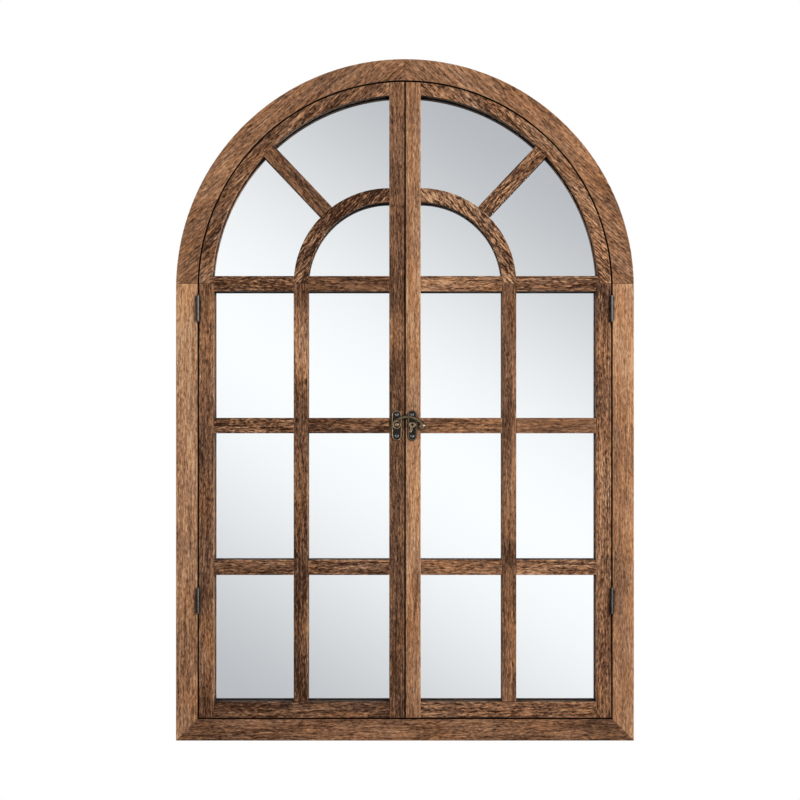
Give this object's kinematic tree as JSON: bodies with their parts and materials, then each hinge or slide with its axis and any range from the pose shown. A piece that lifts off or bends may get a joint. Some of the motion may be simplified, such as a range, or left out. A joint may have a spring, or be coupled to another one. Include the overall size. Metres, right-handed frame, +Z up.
{
  "type": "arched mirror",
  "caption": "Arched wooden wall mirror with hinged lattice doors like a window, a fan top and a swan-neck hook latch.",
  "frame": {"origin": "on the wall plane, midway between the round mouths of the two keyhole hangers", "axes": "+Z up, +X to the right of someone facing the doors, -Y out of the wall through the doors"},
  "size_m": [0.61, 0.0371, 0.908],
  "materials": {
    "arch_wood": "satin stained",
    "stile_wood": "satin stained",
    "foot_wood": "satin stained",
    "door_wood": "satin stained",
    "dark_stile_wood": "satin stained",
    "light_stile_wood": "satin stained",
    "dowel_wood": "bare",
    "mirror": "silvered glass",
    "back_board": "bare hardboard",
    "antique_bronze": "antique bronze",
    "aged_brass": "worn brass",
    "zinc_steel": "zinc plated"
  },
  "bodies": {
    "frame": {"frame_arch_left": "arch_wood", "frame_arch_right": "arch_wood", "frame_stile_left": "stile_wood", "frame_stile_right": "stile_wood", "frame_bottom_rail": "foot_wood", "frame_dowels": "dowel_wood", "mirror_glass": "mirror", "back_panel": "back_board", "back_panel_screws": "zinc_steel", "keyhole_plate_left": "zinc_steel", "keyhole_plate_right": "zinc_steel", "keyhole_plate_screws": "zinc_steel", "left_upper_frame_leaf": "antique_bronze", "left_lower_frame_leaf": "antique_bronze", "right_upper_frame_leaf": "antique_bronze", "right_lower_frame_leaf": "antique_bronze", "hinge_pins": "antique_bronze", "frame_leaf_screws": "antique_bronze"},
    "left_door": {"left_hinge_stile": "dark_stile_wood", "left_meeting_stile": "dark_stile_wood", "left_arch_rail": "door_wood", "left_bottom_rail": "door_wood", "left_upright_muntin": "door_wood", "left_lower_outer_rail": "door_wood", "left_lower_inner_rail": "door_wood", "left_middle_outer_rail": "door_wood", "left_middle_inner_rail": "door_wood", "left_spring_outer_rail": "door_wood", "left_spring_inner_rail": "door_wood", "left_small_arch": "door_wood", "left_spoke": "door_wood", "left_door_dowel": "dowel_wood", "left_upper_door_leaf": "antique_bronze", "left_lower_door_leaf": "antique_bronze", "left_door_leaf_screws": "antique_bronze", "latch_plate": "antique_bronze", "latch_screws": "antique_bronze", "latch_rivet": "aged_brass"},
    "right_door": {"right_hinge_stile": "dark_stile_wood", "right_meeting_stile": "light_stile_wood", "right_arch_rail": "door_wood", "right_bottom_rail": "door_wood", "right_upright_muntin": "door_wood", "right_lower_outer_rail": "door_wood", "right_lower_inner_rail": "door_wood", "right_middle_outer_rail": "door_wood", "right_middle_inner_rail": "door_wood", "right_spring_outer_rail": "door_wood", "right_spring_inner_rail": "door_wood", "right_small_arch": "door_wood", "right_spoke": "door_wood", "right_door_dowel": "dowel_wood", "right_upper_door_leaf": "antique_bronze", "right_lower_door_leaf": "antique_bronze", "right_door_leaf_screws": "antique_bronze", "catch_plate": "antique_bronze", "catch_screws": "antique_bronze", "catch_post": "aged_brass"},
    "latch_hook": {"latch_hook": "antique_bronze"}
  },
  "joints": [
    {"name": "left_door_hinge", "type": "hinge", "parent": "frame", "child": "left_door", "pos_m": [-0.2755, -0.0342, 0], "axis": [0, 0, -1], "range_deg": [0, 180]},
    {"name": "right_door_hinge", "type": "hinge", "parent": "frame", "child": "right_door", "pos_m": [0.2755, -0.0342, 0], "axis": [0, 0, 1], "range_deg": [0, 180]},
    {"name": "latch_hook_pivot", "type": "hinge", "parent": "left_door", "child": "latch_hook", "pos_m": [-0.011, -0.0342, -0.13818], "axis": [0, -1, 0], "range_deg": [0, 180]}
  ],
  "couplings": [
    {"joint": "right_door_hinge", "follows": "left_door_hinge", "ratio": 1}
  ]
}
